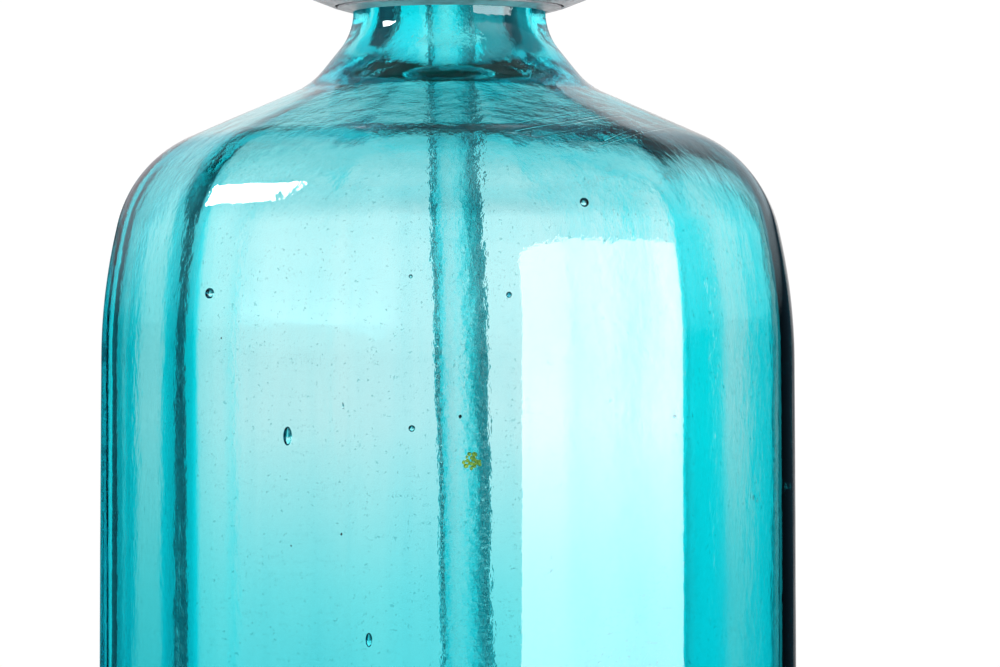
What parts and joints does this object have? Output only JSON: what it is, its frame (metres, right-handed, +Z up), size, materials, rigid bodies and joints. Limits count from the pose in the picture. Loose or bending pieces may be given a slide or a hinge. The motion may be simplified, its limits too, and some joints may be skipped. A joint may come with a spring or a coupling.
{
  "type": "soda siphon",
  "caption": "Soda siphon: thick turquoise glass bottle with flat panels, a glass dip tube, and a grey metal head with a thumb lever, sprung valve and curved spout.",
  "frame": {"origin": "centre of the standing ring under the bottle, on the bottle's axis", "axes": "+Z up along the bottle; +X the way the spout points, so the lever reaches out along -X; +Y completes the right-handed frame"},
  "size_m": [0.1462, 0.1044, 0.319],
  "materials": {
    "siphon_glass": "moulded, thick, tinted turquoise, polished",
    "clear_glass": "drawn clear tube",
    "pewter": "cast tin alloy, dull grey patina, satin",
    "tin_bright": "turned tin alloy, satin",
    "worn_brass": "tarnished, satin",
    "spring_bronze": "drawn wire, tarnished",
    "red_rubber": "aged, matte",
    "black_rubber": "aged, matte",
    "leather": "greased, matte",
    "steel": "riveted pin, worn"
  },
  "bodies": {
    "siphon": {"glass_bottle": "siphon_glass", "dip_tube": "clear_glass", "tube_sleeve": "red_rubber", "tube_holder": "tin_bright", "holder_gasket": "black_rubber", "neck_gasket": "red_rubber", "split_ring_front": "pewter", "split_ring_back": "pewter", "collar_nut": "pewter", "head_casting": "pewter", "spout_nozzle": "pewter", "nozzle_washer": "black_rubber", "spout_liner": "clear_glass", "packing_washer": "leather", "gland_ring": "worn_brass", "return_spring": "spring_bronze", "cap_gasket": "leather", "cap_nut": "pewter", "lever_pin": "steel"},
    "valve": {"plunger": "worn_brass", "valve_disc": "black_rubber"},
    "thumb_lever": {"lever": "pewter"}
  },
  "joints": [
    {"name": "valve_lift", "type": "slide", "parent": "siphon", "child": "valve", "axis": [0, 0, 1], "range_m": [0, 0.0041], "stiffness_N_per_m": 1000, "springref_m": -0.0045, "deforming": ["return_spring"]},
    {"name": "lever_press", "type": "hinge", "parent": "siphon", "child": "thumb_lever", "pos_m": [-0.017, 0, 0.286], "axis": [0, -1, 0], "range_deg": [0, 14]}
  ],
  "couplings": [
    {"joint": "lever_press", "follows": "valve_lift", "rad_per_m": 59}
  ]
}
